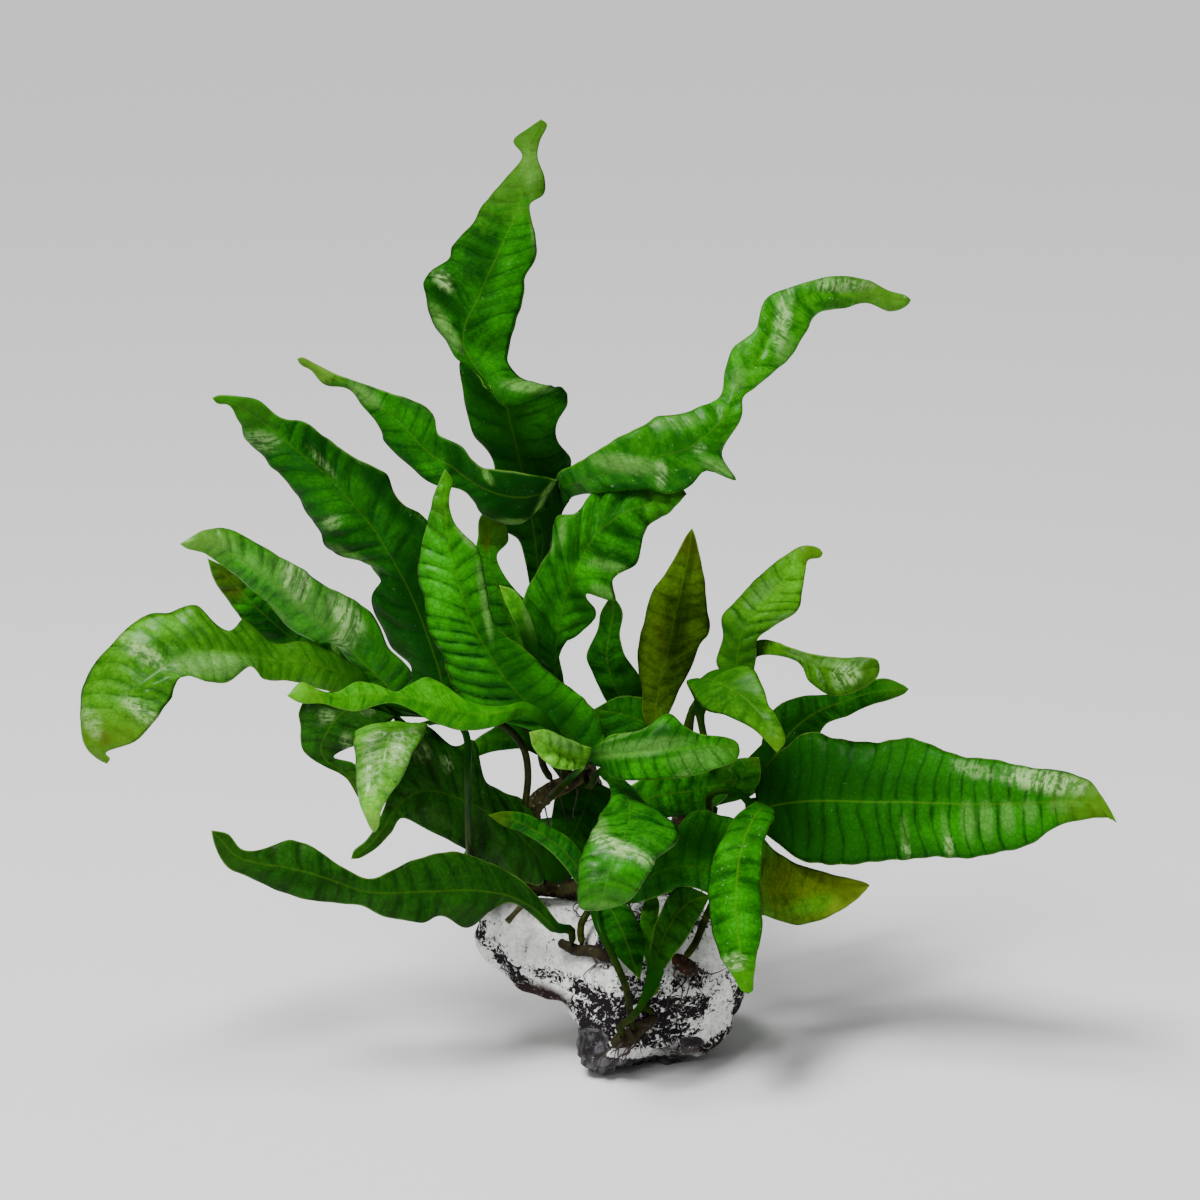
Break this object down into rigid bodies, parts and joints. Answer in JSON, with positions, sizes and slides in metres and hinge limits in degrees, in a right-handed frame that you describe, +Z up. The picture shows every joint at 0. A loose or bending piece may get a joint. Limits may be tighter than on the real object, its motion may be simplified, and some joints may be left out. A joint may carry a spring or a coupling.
{
  "type": "java fern on stone",
  "caption": "Water fern with long, ribbed, pointed green fronds that rise and arch from a creeping rhizome, rooted on a rough pale stone that it stands on.",
  "frame": {"origin": "middle of the stone's flat underside, on the surface that the stone stands on", "axes": "+X to the right of the picture, along the widest spread of the fronds; +Y away from its viewer; +Z up"},
  "size_m": [0.275, 0.1344, 0.2571],
  "materials": {
    "stone": "matte",
    "rhizome": "matte",
    "stalk": "satin",
    "frond_green": "satin",
    "frond_lime": "satin",
    "frond_olive": "satin",
    "frond_dark": "satin"
  },
  "bodies": {
    "root": {"stone": "stone", "rhizome_main": "rhizome", "rhizome_rising_middle": "rhizome", "rhizome_rising_right": "rhizome", "rhizome_rising_back": "rhizome", "rhizome_front_left": "rhizome", "rhizome_front_right": "rhizome", "rhizome_foot": "rhizome", "stalk_stub": "stalk", "frond_top": "frond_green", "frond_upper_left_slim": "frond_green", "frond_upper_left_broad": "frond_green", "frond_left_glossy": "frond_green", "frond_far_left_drooping": "frond_green", "frond_middle_ribbed": "frond_green", "frond_ruffled": "frond_green", "frond_upper_right_long": "frond_green", "frond_right_large": "frond_green", "frond_front_right_hanging": "frond_green", "frond_front_folded": "frond_green", "frond_level_middle": "frond_green", "frond_diagonal_narrow": "frond_green", "frond_curled": "frond_green", "frond_right_pointed": "frond_green", "frond_yellow_green": "frond_green", "frond_back_left": "frond_green", "frond_back_right": "frond_green", "frond_back_middle": "frond_green", "frond_back_low": "frond_green", "frond_front_left_lime": "frond_lime", "frond_hanging_pale": "frond_lime", "frond_drooping_lime": "frond_lime", "frond_lime_crumpled": "frond_lime", "frond_front_young": "frond_lime", "frond_middle_young": "frond_lime", "frond_olive_upright": "frond_olive", "frond_low_right_olive": "frond_olive", "frond_olive_small": "frond_olive", "frond_olive_behind": "frond_olive", "frond_left_shaded": "frond_dark", "frond_left_dark": "frond_dark", "frond_left_twisted": "frond_dark", "frond_low_left_long": "frond_dark", "frond_dark_upright": "frond_dark", "frond_shaded_middle": "frond_dark", "frond_shaded_hanging": "frond_dark", "frond_pendant_dark": "frond_dark", "frond_front_upright": "frond_dark", "frond_under_lime": "frond_dark", "frond_shaded_right": "frond_dark"}
  },
  "joints": []
}
